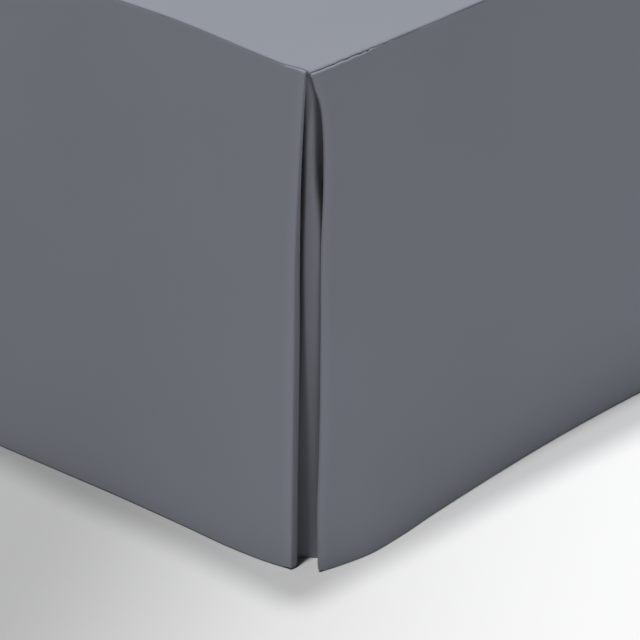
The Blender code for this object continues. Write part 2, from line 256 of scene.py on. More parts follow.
# The platform's hem at the head end, as rows of along and up in mm from the end
HEAD_TURN = (
    (-20, 0), (-13, 0), (-6, 0), (-0.5, 0), (-0.1, -0.1),
    (0, -0.33), (-0.1, -0.56), (-0.5, -0.66), (-7, -0.66), (-15, -0.66),
)

# How finely the sheets are made
PANEL_ROWS = 56
ROW_CROWDING = 1.25
FOOT_PANEL_STOPS = 84
SIDE_PANEL_STOPS = 210
STOP_CROWDING = 1.6
PANEL_CROWDING = {"foot": 1.6, "side": 2.1}
FOLD_STOPS = 18
RETURN_STOPS = 8
UNDERLAY_STOPS = 44
UNDERLAY_REACH = 55 * MM
PLATFORM_STEP = 25 * MM
PLATFORM_FINE_STEP = 2.5 * MM
PLATFORM_FINE_TO = 80 * MM
PLATFORM_FLAT_FROM = 8 * MM

# A distance along a side where its panel is plain
PLAIN_PANEL = 0.3

# Camera: it looks at the near foot corner from 45 degrees, from the photo's height
CORNER_COLUMN = 309
PICTURE = 640
CAMERA_DISTANCE = 2.8
CAMERA_RISE = math.radians(24.0)
CAMERA_PITCH = math.radians(27.04)
CAMERA_AZIMUTH = math.radians(45)
FOCAL_PIXELS = 4657
SENSOR = 36.0

# Floor: its greys, a painted gradient of light and shade, from left to right as the camera sees it, over
# a spread each way from the corner
FLOOR_SPREAD = 1.2
FLOOR_PAINTED_LIGHT = (
    (0.0, 0.50), (0.2, 0.43), (0.41, 0.355), (0.442, 0.425), (0.475, 0.558), (0.5, 0.637),
    (0.542, 0.735), (0.592, 0.812), (0.7, 0.79), (0.85, 0.76), (1.0, 0.75),
)
FLOOR_COOL = 1.02
FLOOR_TURN = math.radians(16.5)
FLOOR_HALF = 60.0

# Lights: how far each travels east and north for each metre that it falls, its strength, and its softness
# in degrees
LIGHTS = (
    ("overhead", (0.073, -0.105), 1.51, 5.0),
    ("front", (-0.045, 0.29), 2.18, 6.0),
)
LAMP_COLOUR = (1.0, 1.0, 0.98)
SKY = 0.05

# Colours, each as a darker and a lighter tone
CLOTH_TONES = ((0.241, 0.255, 0.298), (0.254, 0.268, 0.314))
THREAD_TONES = ((0.30, 0.31, 0.35), (0.40, 0.42, 0.46))
COVER_TONES = ((0.56, 0.54, 0.49), (0.68, 0.66, 0.61))
BEECH_TONES = ((0.30, 0.16, 0.075), (0.47, 0.29, 0.155))


class Curve:
    """A smooth curve through the values of one column of a table, over its first column."""

    def __init__(self, rows, columns, name, unit=MM, knot_unit=MM):
        self.knots = np.array([row[0] for row in rows], float) * knot_unit
        self.values = np.array([row[columns.index(name)] for row in rows], float) * unit
        self.slopes = np.gradient(self.values, self.knots)

    def __call__(self, at):
        knots, values, slopes = self.knots, self.values, self.slopes
        at = min(max(at, knots[0]), knots[-1])
        i = min(max(int(np.searchsorted(knots, at, side="right")) - 1, 0), len(knots) - 2)
        width = knots[i + 1] - knots[i]
        t = (at - knots[i]) / width
        rise = values[i + 1] - values[i]
        a = slopes[i] * width - rise
        b = rise - slopes[i + 1] * width
        return values[i] + t * rise + t * (1 - t) * (a * (1 - t) + b * t)


def edge_curves(rows):
    return {name: Curve(rows, EDGE_COLUMNS, name) for name in EDGE_COLUMNS[1:]}


def seam_curves(rows):
    return {name: Curve(rows, SEAM_COLUMNS, name, unit=1) for name in SEAM_COLUMNS[1:]}


PLEAT_CURVES = {name: Curve(PLEAT, PLEAT_COLUMNS, name, knot_unit=1) for name in PLEAT_COLUMNS[1:]}
FOOT_CURVES = edge_curves(FOOT_EDGE)
FOOT_SEAM_CURVES = seam_curves(FOOT_SEAM)
SIDE_SEAM_CURVES = seam_curves(SIDE_SEAM)
PUCKER_CURVE = Curve(PUCKERS, PUCKER_COLUMNS, "up")


def pleat(name, down):
    return PLEAT_CURVES[name](down)


def ease(t):
    t = min(max(t, 0), 1)
    return t * t * (3 - 2 * t)


def blend(low, high, share):
    return low + (high - low) * share


class Corner:
    """A foot corner. A place on a side is a distance along it and a depth behind its seam."""

    def __init__(self, sign, side_rows):
        self.sign = sign
        self.curves = {"foot": FOOT_CURVES, "side": edge_curves(side_rows)}
        self.out_ways = {"foot": (0, -1), "side": (sign, 0)}

    def edge(self, side, name, along):
        if side == "foot" and self.sign < 0:
            along = BED_WIDTH - along
        return self.curves[side][name](along)

    def seam(self, side, along):
        """How the seam lies at a place: on_side and open. Both foot corners have the same."""
        if side == "foot":
            along = min(along, BED_WIDTH - along)
        curves = FOOT_SEAM_CURVES if side == "foot" else SIDE_SEAM_CURVES
        return [min(max(curves[name](along), 0), 1) for name in SEAM_COLUMNS[1:]]

    def flare(self, side, along, down):
        """How far out the panel hangs past its seam."""
        hem_past_seam = self.edge(side, "hem_out", along) - self.edge(side, "seam_out", along)
        return hem_past_seam * down**FLARE_POWER

    def place(self, side, along, depth):
        """A place on a side, in plan."""
        depth -= self.edge(side, "seam_out", along)
        if side == "foot":
            return MIDDLE_X + self.sign * (BED_WIDTH / 2 - along), FOOT_Y + depth
        return MIDDLE_X + self.sign * (BED_WIDTH / 2 - depth), FOOT_Y + along

    def behind(self, side, across, back):
        """A place in plan by its distances across the corner's diagonal and back along it."""
        return self.place(side, (across + back) / math.sqrt(2), (back - across) / math.sqrt(2))

    def tuck(self, side, down):
        """The inner fold of the pleat: its place along the side, the underlay's depth there, its radius."""
        reach = FOOT_TUCK if side == "foot" else SIDE_TUCK
        radius = blend(TUCK_RADIUS_TOP, TUCK_RADIUS_HEM, down)
        layer = blend(LAYER_AT_SEAM, LAYER_AT_HEM, down)
        return reach, layer - TUCK_FOLLOWS * self.flare(side, reach, down) + 2 * radius, radius

    def outer_fold(self, side, down):
        """The fold beside the opening: its place along the side, its middle's depth, its radius."""
        along, radius = pleat(side + "_fold", down), pleat(side + "_radius", down)
        return along, radius - self.flare(side, along, down), radius

    def on_return(self, side, down, share):
        """A place on the layer between the inner fold, share 0, and the outer one, share 1."""
        reach, depth, radius = self.tuck(side, down)
        near, middle, fold_radius = self.outer_fold(side, down)
        layer = blend(depth - 2 * radius, middle + fold_radius, ease(share))
        return self.place(side, blend(reach, near, share), layer)

    def seam_share(self, down, gap=0):
        """The share at which the seam hidden in the pleat, or a gap past it, lies on the side's return."""
        reach, _, _ = self.tuck("side", down)
        near, _, _ = self.outer_fold("side", down)
        return (SEAM_FROM_TUCK + gap) / (reach - near)


NEAR = Corner(1, NEAR_SIDE_EDGE)
FAR = Corner(-1, FAR_SIDE_EDGE)


class Stop:
    """One upright line of a drop's sheet: its place in plan at each height, and how its top is finished.

    crest is 1 where the top joins the platform's seam as the panel does, and 0 on a hidden layer, which
    ends at top. lift is how much higher the hem hangs there than on its side, and hem_layers is how deep
    its turn is. turns_out says that the sheet's back faces out, as on a side hem that is folded in. nap is
    painted light, a factor on the cloth's colour: painted shade inside the pleat, and a painted highlight
    a little lighter on its creases.
    """

    def __init__(
        self, at, corner, side, along=0.0, crest=0.0, top=RETURN_TOP, lift=0.0, hem_layers=1.0,
        turns_out=False, nap=PAINTED_PLEAT_SHADE,
    ):
        self.at = at
        self.lift = lift
        self.nap = nap
        self.corner = corner
        self.side = side
        self.along = along
        self.crest = crest
        self.top = top
        self.hem_layers = hem_layers
        self.turns_out = turns_out

    def hem(self):
        """The hem's height over the floor."""
        return hem_height(*self.at(1)) + self.lift

    def at_height(self, z, hem):
        """The place in plan at a height, above a hem at its own height."""
        return self.at((DROP_TOP - z) / (DROP_TOP - hem))

    def top_profile(self):
        """The rows of out and up that finish the top, lowest first."""
        on_side, is_open = self.corner.seam(self.side, self.along)
        crest = seam_profile(DROP_GROOVE_UP, DROP_GROOVE_OUT, DROP_FLAT, on_side, is_open)
        if self.side == "side":
            crest += np.outer(PUCKER_ON_DROP, PUCKER_CURVE(self.along) * np.array([PUCKER_LEANS_OUT, 1]))
        low = crest[0, 1]
        plain = np.stack([np.zeros(len(crest)), np.linspace(low, self.top, len(crest))], axis=1)
        return blend(plain, crest, self.crest)


def seam_profile(up, out, flat, on_side, is_open):
    """The cross-section between three: a groove that opens upwards, one that faces out and a flat seam."""
    groove = blend(np.array(up, float), np.array(out, float), on_side)
    return blend(np.array(flat, float), groove, is_open) * MM


def tuck_stops(corner, side):
    """The inner fold, from the underlay to the return."""

    def at(down, turn):
        reach, depth, radius = corner.tuck(side, down)
        return corner.place(side, reach + radius * math.sin(turn), depth - radius + radius * math.cos(turn))

    turns = np.linspace(0, math.pi, FOLD_STOPS + 1)
    return [Stop(partial(at, turn=turn), corner, side) for turn in turns]


def return_stops(corner, side, first):
    """The layer between the pleat's inner and outer folds. first gives the share at which it starts."""

    def at(down, share):
        return corner.on_return(side, down, blend(first(down), 1, share))

    stops = []
    for share in np.linspace(0, 1, RETURN_STOPS + 1):
        lift = (TIP_LIFT + FOLD_LIFT) * ease(1 - (1 - share) / FOLD_LIFT_FADES)
        stops.append(Stop(partial(at, share=share), corner, side, lift=lift))
    return stops


def squared(value):
    """Turns a circle's sine or cosine into that of a rounder-cornered square."""
    return math.copysign(abs(value) ** (2 / FOLD_SQUARENESS), value)


def fold_stops(corner, side):
    """The fold beside the opening, from the return to the panel. At the hem its corner is lifted."""

    def at(down, turn):
        along, middle, radius = corner.outer_fold(side, down)
        across = radius * squared(math.sin(turn))
        return corner.place(side, along - across, middle + radius * squared(math.cos(turn)))

    along = pleat(side + "_fold", 0)
    stops = []
    for turn in np.linspace(0, math.pi, FOLD_STOPS + 1):
        crest = ease(turn / (math.pi / 2) - 1)
        lift = TIP_LIFT + FOLD_LIFT * ease((0.5 - turn / math.pi) / FOLD_LIFT_FADES)
        # Painted light: painted shade on the fold's inner side, turning into a painted highlight on its
        # outer crease
        nap = blend(PAINTED_PLEAT_SHADE, PAINTED_CREASE_HIGHLIGHT, ease((turn / math.pi - FOLD_HIGHLIGHT_FROM) / FOLD_HIGHLIGHT_OVER))
        place = partial(at, turn=turn)
        stops.append(Stop(place, corner, side, along, crest, lift=lift, nap=nap))
    return stops


def underlay_stops(corner):
    """The layer behind the corner, from the side's inner fold round to the foot's, without its ends."""

    def at(down, across):
        side = "side" if across > 0 else "foot"
        reach, end_depth, _ = corner.tuck(side, down)
        share = abs(across) * math.sqrt(2) / reach
        side_share = (across / CORNER_BLEND + 1) / 2
        depth = blend(pleat("foot_depth", down), pleat("side_depth", down), ease(side_share))
        layer = blend(depth, end_depth, ease(share))
        hollow = pleat("hollow", down)
        round_corner = (abs(across) ** CORNER_POWER + hollow**CORNER_POWER) ** (1 / CORNER_POWER)
        off_bulge = across - pleat("bulge_at", down)
        off_bulge /= pleat("side_half" if off_bulge > 0 else "foot_half", down)
        swell = pleat("bulge", down) * math.exp(-(abs(off_bulge) ** BULGE_POWER))
        return corner.behind(side, abs(across), round_corner + math.sqrt(2) * layer - swell)

    steps = np.linspace(1, -1, UNDERLAY_STOPS + 1)
    places = np.sign(steps) * np.abs(steps) ** STOP_CROWDING * UNDERLAY_REACH
    return [Stop(partial(at, across=across), corner, "side", top=UNDERLAY_TOP) for across in places]


def panel_stops(corner, side, end, count):
    """The panel from its fold to a place along its side, closer together near the fold."""

    def at(down, share):
        start, _, _ = corner.outer_fold(side, down)
        along = blend(start, end, share)
        return corner.place(side, along, -corner.flare(side, along, down))

    start = pleat(side + "_fold", 0)
    shares = (np.arange(1, count + 1) / count) ** PANEL_CROWDING[side]
    stops = []
    for share in shares:
        along = blend(start, end, share)
        # A painted highlight on the panel beside the fold's crease, fading out over a short width
        nap = blend(PAINTED_CREASE_HIGHLIGHT, 1, ease((along - start) / CREASE_HIGHLIGHT_WIDTH))
        lift = TIP_LIFT * max(1 - (along - start) / TIP_WIDTH, 0) ** 2
        place = partial(at, share=share)
        stops.append(Stop(place, corner, side, along, crest=1.0, lift=lift, nap=nap))
    return stops


def pleat_stops(corner):
    """One corner of the foot drop, from the seam hidden in the pleat to its outer fold on the foot."""

    def seam_at(down):
        return corner.on_return("side", down, corner.seam_share(down))

    return [
        Stop(seam_at, corner, "side"),
        *reversed(tuck_stops(corner, "side")),
        *underlay_stops(corner),
        *tuck_stops(corner, "foot"),
        *return_stops(corner, "foot", lambda down: 0)[1:-1],
        *fold_stops(corner, "foot"),
    ]


def foot_stops():
    """The foot drop, from one hidden seam to the other."""
    half = panel_stops(NEAR, "foot", BED_WIDTH / 2, FOOT_PANEL_STOPS)
    other = panel_stops(FAR, "foot", BED_WIDTH / 2, FOOT_PANEL_STOPS)[:-1]
    return [*pleat_stops(NEAR), *half, *reversed(other), *reversed(pleat_stops(FAR))]


def side_stops(corner):
    """A side drop, from the hidden seam to the head end, where its edge is turned in."""

    def at(down, along, depth):
        return corner.place("side", along, depth - corner.flare("side", along, down))

    panel = panel_stops(corner, "side", BED_LENGTH - HEM_LAYER, SIDE_PANEL_STOPS)
    for stop in panel:
        inside = ease((stop.along - BED_LENGTH + SIDE_HEM + HEM_DEEPENS_BEFORE) / HEM_DEEPENS_OVER)
        stop.hem_layers = blend(1, HEM_LAYERS_AT_HEAD, inside)
    radius = HEM_LAYER / 2
    hem = []
    for turn in np.linspace(0, math.pi, SIDE_HEM_TURN_STEPS + 1)[1:]:
        along = BED_LENGTH - 2 * radius + radius * math.sin(turn)
        depth = radius * (1 - math.cos(turn))
        hem.append((along, depth, turn > math.pi / 2))
    hem += [(BED_LENGTH - HEM_LAYER - SIDE_HEM * share, HEM_LAYER, True) for share in (0.25, 0.5, 0.75, 1)]
    folded = []
    for along, depth, turns_out in hem:
        place = partial(at, along=along, depth=depth)
        layers = 1 if turns_out else HEM_LAYERS_AT_HEAD
        stop = Stop(place, corner, "side", along, crest=1.0, hem_layers=layers, turns_out=turns_out, nap=1)
        folded.append(stop)
    inner = return_stops(corner, "side", partial(corner.seam_share, gap=SEAM_GAP))[:-1]
    return [*inner, *fold_stops(corner, "side"), *panel, *folded]


def hem_height(x, y):
    """The hem's height over the floor at a place in plan."""
    from_near = MIDDLE_X + BED_WIDTH / 2 - x
    rise = FOOT_CURVES["hem_rise"](from_near)
    corner = NEAR if x > MIDDLE_X else FAR
    along = y - FOOT_Y
    return HEM_CLEARANCE + blend(rise, corner.edge("side", "hem_rise", along), ease(along / SIDE_TUCK))


def back_ways(stops):
    """Which way the cloth's back faces at the hem, for each stop."""
    run = np.gradient(np.array([stop.at(1) for stop in stops]), axis=0)
    run /= np.linalg.norm(run, axis=1)[:, None]
    back = np.stack([-run[:, 1], run[:, 0]], axis=1)
    plain = (i for i, stop in enumerate(stops) if stop.crest == 1 and stop.along > PLAIN_PANEL)
    panel = next(plain)
    stop = stops[panel]
    return -back if np.dot(back[panel], stop.corner.out_ways[stop.side]) > 0 else back


def drop_sheet(name, stops, material):
    """A drop as one thin sheet: its seamed top, the fall of the panel and the turned hem."""
    profiles = [stop.top_profile() for stop in stops]
    hems = [stop.hem() for stop in stops]
    rows = []
    for k in range(len(profiles[0]) - 1, 0, -1):
        row = []
        for stop, profile in zip(stops, profiles):
            out, up = profile[k]
            x, y = stop.at(0)
            way = stop.corner.out_ways[stop.side]
            row.append((x + way[0] * out, y + way[1] * out, CLOTH_TOP + up))
        rows.append(row)
    start = CLOTH_TOP + DROP_GROOVE_UP[0][1] * MM
    hem_start = HEM_TURN[0][1] * MM
    for k in range(PANEL_ROWS + 1):
        share = (k / PANEL_ROWS) ** ROW_CROWDING
        row = []
        for stop, hem in zip(stops, hems):
            z = blend(start, hem + hem_start, share)
            row.append((*stop.at_height(z, hem), z))
        rows.append(row)
    back = back_ways(stops)
    for layers, up in HEM_TURN[1:]:
        row = []
        for i, (stop, hem) in enumerate(zip(stops, hems)):
            z = hem + up * MM
            depth = layers * stop.hem_layers * HEM_LAYER
            way = -back[i] if stop.turns_out else back[i]
            row.append((*(np.array(stop.at_height(z, hem)) + way * depth), z))
        rows.append(row)
    return sheet_object(name, np.array(rows), material, [stop.nap for stop in stops])


def hem_line(stops, back):
    """The line of a drop's blind stitches, on the inside of its turned hem."""
    line = []
    for i, stop in enumerate(stops):
        if stop.turns_out or stop.hem_layers > 1:
            continue
        hem = stop.hem()
        z = hem + HEM_STITCH_UP
        inside = np.array(stop.at_height(z, hem)) + back[i] * (HEM_LAYER + SHEET / 2)
        line.append((*inside, z))
    return line


def head_line(corner):
    """The line of the straight stitches down a side drop's hem at the head end, on its outer face."""
    along = BED_LENGTH - HEAD_STITCH_IN
    line = []
    top, bottom = PLATFORM_TOP - SEAM_TO_STITCHES, HEM_CLEARANCE + HEM_TO_STITCHES
    for z in np.linspace(top, bottom, HEAD_LINE_POINTS):
        down = (DROP_TOP - z) / (DROP_TOP - HEM_CLEARANCE)
        line.append((*corner.place("side", along, -corner.flare("side", along, down) - SHEET / 2), z))
    return line


def platform_line():
    """The line of the straight stitches across the platform's hem at the head end."""
    y = FOOT_Y + BED_LENGTH - HEAD_STITCH_IN
    reach = BED_WIDTH / 2 - SEAM_TO_STITCHES
    return [(x, y, PLATFORM_TOP) for x in (MIDDLE_X - reach, MIDDLE_X + reach)]


def sheet_object(name, grid, material, painted_light_scales):
    """A mesh from a grid of points, made SHEET thick: naps has one value for each column of the grid.

    Its UV map is in metres along the cloth, and naps becomes an attribute of painted light, which scales
    the cloth's colour: painted shade inside the pleats and a painted highlight on their creases.
    """
    rows, columns, _ = grid.shape
    along = np.zeros((rows, columns))
    down = np.zeros((rows, columns))
    middle = grid[rows // 2]
    along[:] = np.concatenate([[0], np.cumsum(np.linalg.norm(np.diff(middle, axis=0), axis=1))])
    down[1:] = np.cumsum(np.linalg.norm(np.diff(grid, axis=0), axis=2), axis=0)
    quads = []
    for row in range(rows - 1):
        for column in range(columns - 1):
            first = row * columns + column
            quads.append((first, first + columns, first + columns + 1, first + 1))
    mesh = bpy.data.meshes.new(name)
    mesh.from_pydata(grid.reshape(-1, 3).tolist(), [], quads)
    uv = mesh.uv_layers.new(name="cloth")
    loops = np.zeros(len(mesh.loops), np.int32)
    mesh.loops.foreach_get("vertex_index", loops)
    places = np.stack([along.reshape(-1), -down.reshape(-1)], axis=1)[loops]
    uv.data.foreach_set("uv", places.reshape(-1))
    nap = mesh.attributes.new("nap", "FLOAT", "POINT")
    nap.data.foreach_set("value", np.tile(np.array(painted_light_scales, np.float32), rows))
    mesh.materials.append(material)
    mesh.shade_smooth()
    piece = bpy.data.objects.new(name, mesh)
    bpy.context.scene.collection.objects.link(piece)
    thickness = piece.modifiers.new("thickness", "SOLIDIFY")
    thickness.thickness = SHEET
    thickness.offset = 0
    return piece


def platform_sheet(material):
    """The platform: flat on the base, its edges shaped to the seam, its head end turned under."""

    def edge_profile(corner, side, along):
        on_side, is_open = corner.seam(side, along)
        profile = seam_profile(PLATFORM_GROOVE_UP, PLATFORM_GROOVE_OUT, PLATFORM_FLAT, on_side, is_open)
        if side == "side":
            profile[:, 1] += np.array(PUCKER_ON_PLATFORM) * min(PUCKER_CURVE(along), 0)
        return profile

    fine = np.arange(0, PLATFORM_FINE_TO, PLATFORM_FINE_STEP)
    head_start = BED_LENGTH + HEAD_TURN[0][0] * MM
    alongs = np.linspace(PLATFORM_FINE_TO, head_start, round(BED_LENGTH / PLATFORM_STEP))
    alongs = sorted({*np.round(fine, 5), *np.round(alongs, 5)})
    alongs = [along for along in alongs if along > PLATFORM_FLAT_FROM]
    acrosses = np.linspace(PLATFORM_FINE_TO, BED_WIDTH - PLATFORM_FINE_TO, round(BED_WIDTH / PLATFORM_STEP))
    acrosses = sorted({*np.round(fine, 5), *np.round(BED_WIDTH - fine, 5), *np.round(acrosses, 5)})
    acrosses = [a for a in acrosses if PLATFORM_FLAT_FROM < a < BED_WIDTH - PLATFORM_FLAT_FROM]
    steps = len(PLATFORM_FLAT)
    rows = [(-PLATFORM_FLAT[0][0] * MM, step, 0) for step in range(steps - 1, -1, -1)]
    rows += [(along, None, 0) for along in alongs]
    rows += [(BED_LENGTH + along * MM, None, up * MM) for along, up in HEAD_TURN]
    grid = []
    for along, seam_step, head_up in rows:
        row = []
        near = edge_profile(NEAR, "side", along)
        far = edge_profile(FAR, "side", along)
        near_x = MIDDLE_X + BED_WIDTH / 2 + NEAR.edge("side", "seam_out", along)
        far_x = MIDDLE_X - BED_WIDTH / 2 - FAR.edge("side", "seam_out", along)
        columns = [(near_x + near[i, 0], near[i, 1]) for i in range(steps - 1, -1, -1)]
        columns += [(blend(near_x, far_x, across / BED_WIDTH), 0) for across in acrosses]
        columns += [(far_x - far[i, 0], far[i, 1]) for i in range(steps)]
        for x, dip in columns:
            if seam_step is None:
                row.append((x, FOOT_Y + along, CLOTH_TOP + dip + head_up))
                continue
            across = min(max(MIDDLE_X + BED_WIDTH / 2 - x, 0), BED_WIDTH)
            out, up = edge_profile(NEAR, "foot", across)[seam_step]
            y = FOOT_Y - FOOT_CURVES["seam_out"](across) - out
            row.append((x, y, CLOTH_TOP + min(up, dip)))
        grid.append(row)
    return sheet_object("skirt_platform", np.array(grid), material, [1] * len(grid[0]))


def node(tree, kind, **values):
    """A new node, with its inputs and its other settings given by name."""
    made = tree.nodes.new(kind)
    for name, value in values.items():
        if name in made.inputs:
            made.inputs[name].default_value = value
        else:
            setattr(made, name, value)
    return made


def new_material(name, roughness, sheen=0.0):
    """A material with its node tree and its shader."""
    material = bpy.data.materials.new(name)
    material.use_nodes = True
    shader = material.node_tree.nodes["Principled BSDF"]
    shader.inputs["Roughness"].default_value = roughness
    shader.inputs["Sheen Weight"].default_value = sheen
    shader.inputs["Sheen Roughness"].default_value = 0.5
    shader.inputs["Specular IOR Level"].default_value = 0.25
    return material, material.node_tree, shader


def microfibre():
    """Brushed microfibre: a fine plain weave under a soft pile, faint cloudy changes of tone, and painted
    light.
    """
    material, tree, shader = new_material("slate_microfibre", 0.92, sheen=0.12)
    link = tree.links.new
    uv = node(tree, "ShaderNodeUVMap", uv_map="cloth")
    place = node(tree, "ShaderNodeTexCoord")
    cloud = node(tree, "ShaderNodeTexNoise", Scale=9.0, Detail=3.0, Roughness=0.5)
    link(place.outputs["Object"], cloud.inputs["Vector"])
    nap = node(tree, "ShaderNodeTexNoise", Scale=900.0, Detail=2.0, Roughness=0.6)
    link(uv.outputs["UV"], nap.inputs["Vector"])
    tone = node(tree, "ShaderNodeMath", operation="MULTIPLY_ADD")
    tone.inputs[1].default_value = 0.35
    link(nap.outputs["Fac"], tone.inputs[0])
    link(cloud.outputs["Fac"], tone.inputs[2])
    # The sheet's attribute of painted light scales the colour: painted shade inside the pleats, a painted
    # highlight on their creases
    painted_light_factor = node(tree, "ShaderNodeAttribute", attribute_name="nap")
    colour = node(tree, "ShaderNodeVectorMath", operation="SCALE")
    link(two_tones(tree, tone.outputs["Value"], CLOTH_TONES, light_at=1.0), colour.inputs[0])
    link(painted_light_factor.outputs["Fac"], colour.inputs["Scale"])
    link(colour.outputs["Vector"], shader.inputs["Base Color"])
    weave = node(tree, "ShaderNodeMath", operation="MULTIPLY")
    for socket, way in enumerate(("X", "Y")):
        yarns = node(tree, "ShaderNodeTexWave", bands_direction=way, Scale=500.0, Distortion=0.4)
        link(uv.outputs["UV"], yarns.inputs["Vector"])
        link(yarns.outputs["Fac"], weave.inputs[socket])
    height = node(tree, "ShaderNodeMath", operation="ADD")
    link(weave.outputs["Value"], height.inputs[0])
    link(nap.outputs["Fac"], height.inputs[1])
    link(bumped(tree, height.outputs["Value"], 0.12, 0.2 * MM), shader.inputs["Normal"])
    return material


def thread_material():
    """The skirt's own polyester thread, a little smoother than the cloth, its twist in fine bands."""
    material, tree, shader = new_material("slate_thread", 0.55, sheen=0.1)
    link = tree.links.new
    place = node(tree, "ShaderNodeTexCoord")
    tone = node(tree, "ShaderNodeTexNoise", Scale=300.0, Detail=1.0)
    link(place.outputs["Object"], tone.inputs["Vector"])
    link(two_tones(tree, tone.outputs["Fac"], THREAD_TONES), shader.inputs["Base Color"])
    twist = node(tree, "ShaderNodeTexWave", bands_direction="DIAGONAL", Scale=1200.0)
    link(place.outputs["Object"], twist.inputs["Vector"])
    link(bumped(tree, twist.outputs["Fac"], 0.3, 0.1 * MM), shader.inputs["Normal"])
    return material


def base_cover_material():
    """The base's cover: off-white cotton in a coarse plain weave, its yarns a little uneven."""
    material, tree, shader = new_material("base_cotton", 0.9, sheen=0.08)
    link = tree.links.new
    place = node(tree, "ShaderNodeTexCoord")
    weave = node(tree, "ShaderNodeMath", operation="ADD")
    for socket, stretch in ((0, (1, 1, 0.06)), (1, (0.06, 0.06, 1))):
        run = node(tree, "ShaderNodeMapping", Scale=stretch)
        yarn = node(tree, "ShaderNodeTexNoise", Scale=700.0, Detail=2.0, Roughness=0.6)
        link(place.outputs["Object"], run.inputs["Vector"])
        link(run.outputs["Vector"], yarn.inputs["Vector"])
        link(yarn.outputs["Fac"], weave.inputs[socket])
    half = node(tree, "ShaderNodeMath", operation="MULTIPLY")
    half.inputs[1].default_value = 0.5
    link(weave.outputs["Value"], half.inputs[0])
    link(two_tones(tree, half.outputs["Value"], COVER_TONES), shader.inputs["Base Color"])
    link(bumped(tree, half.outputs["Value"], 0.5, 0.4 * MM), shader.inputs["Normal"])
    return material


def leg_material():
    """The legs: oiled beech, its grain running down them, with short dark flecks."""
    material, tree, shader = new_material("oiled_beech", 0.42)
    link = tree.links.new
    place = node(tree, "ShaderNodeTexCoord")
    stretch = node(tree, "ShaderNodeMapping", Scale=(1, 1, 0.06))
    link(place.outputs["Object"], stretch.inputs["Vector"])
    grain = node(tree, "ShaderNodeTexNoise", Scale=140.0, Detail=5.0, Roughness=0.65)
    fleck = node(tree, "ShaderNodeTexVoronoi", Scale=380.0)
    for texture in (grain, fleck):
        link(stretch.outputs["Vector"], texture.inputs["Vector"])
    mixed = node(tree, "ShaderNodeMath", operation="MULTIPLY")
    link(grain.outputs["Fac"], mixed.inputs[0])
    link(fleck.outputs["Distance"], mixed.inputs[1])
    link(two_tones(tree, grain.outputs["Fac"], BEECH_TONES), shader.inputs["Base Color"])
    link(bumped(tree, mixed.outputs["Value"], 0.2, 0.15 * MM), shader.inputs["Normal"])
    return material


def two_tones(tree, value, tones, dark_at=0.35, light_at=0.65):
    """The output of a ramp from a dark tone to a light one."""
    ramp = node(tree, "ShaderNodeValToRGB")
    for stop, place, tone in zip(ramp.color_ramp.elements, (dark_at, light_at), tones):
        stop.position = place
        stop.color = (*tone, 1)
    tree.links.new(value, ramp.inputs["Fac"])
    return ramp.outputs["Color"]


def bumped(tree, height, strength, distance):
    """The output of a bump node."""
    bump = node(tree, "ShaderNodeBump", Strength=strength, Distance=distance)
    tree.links.new(height, bump.inputs["Height"])
    return bump.outputs["Normal"]


def stitch_tree():
    """Sews along lines: a thread at every step, each turned a little. The group's inputs have the sizes."""
    tree = bpy.data.node_groups.new("stitches", "GeometryNodeTree")
    tree.interface.new_socket("Stitches", in_out="OUTPUT", socket_type="NodeSocketGeometry")
    for name, kind in (
        ("Lines", "NodeSocketGeometry"), ("Step", "NodeSocketFloat"), ("Length", "NodeSocketFloat"),
        ("Thread", "NodeSocketFloat"), ("Turn", "NodeSocketFloat"), ("Seed", "NodeSocketInt"),
        ("Material", "NodeSocketMaterial"),
    ):
        tree.interface.new_socket(name, in_out="INPUT", socket_type=kind)
    link = tree.links.new
    given = node(tree, "NodeGroupInput")
    curve = node(tree, "GeometryNodeMeshToCurve")
    steps = node(tree, "GeometryNodeResampleCurve", mode="LENGTH")
    link(given.outputs["Lines"], curve.inputs["Mesh"])
    link(curve.outputs["Curve"], steps.inputs["Curve"])
    link(given.outputs["Step"], steps.inputs["Length"])
    thread = node(tree, "GeometryNodeMeshUVSphere", Segments=6, Rings=5, Radius=0.5)
    size = node(tree, "ShaderNodeCombineXYZ")
    for name, socket in (("Length", "X"), ("Thread", "Y"), ("Thread", "Z")):
        link(given.outputs[name], size.inputs[socket])
    sized = node(tree, "GeometryNodeTransform")
    link(thread.outputs["Mesh"], sized.inputs["Geometry"])
    link(size.outputs["Vector"], sized.inputs["Scale"])
    tangent = node(tree, "GeometryNodeInputTangent")
    along = node(tree, "FunctionNodeAlignRotationToVector", axis="X")
    link(tangent.outputs["Tangent"], along.inputs["Vector"])
    least = node(tree, "ShaderNodeMath", operation="MULTIPLY")
    least.inputs[1].default_value = -1
    link(given.outputs["Turn"], least.inputs[0])
    random = node(tree, "FunctionNodeRandomValue", data_type="FLOAT_VECTOR")
    link(least.outputs["Value"], random.inputs["Min"])
    link(given.outputs["Turn"], random.inputs["Max"])
    link(given.outputs["Seed"], random.inputs["Seed"])
    turned = node(tree, "FunctionNodeRotateRotation", rotation_space="LOCAL")
    link(along.outputs["Rotation"], turned.inputs["Rotation"])
    link(random.outputs["Value"], turned.inputs["Rotate By"])
    placed = node(tree, "GeometryNodeInstanceOnPoints")
    link(steps.outputs["Curve"], placed.inputs["Points"])
    link(sized.outputs["Geometry"], placed.inputs["Instance"])
    link(turned.outputs["Rotation"], placed.inputs["Rotation"])
    real = node(tree, "GeometryNodeRealizeInstances")
    smooth = node(tree, "GeometryNodeSetShadeSmooth")
    coloured = node(tree, "GeometryNodeSetMaterial")
    made = node(tree, "NodeGroupOutput")
    link(placed.outputs["Instances"], real.inputs["Geometry"])
    link(real.outputs["Geometry"], smooth.inputs["Geometry"])
    link(smooth.outputs["Geometry"], coloured.inputs["Geometry"])
    link(given.outputs["Material"], coloured.inputs["Material"])
    link(coloured.outputs["Geometry"], made.inputs["Stitches"])
    return tree


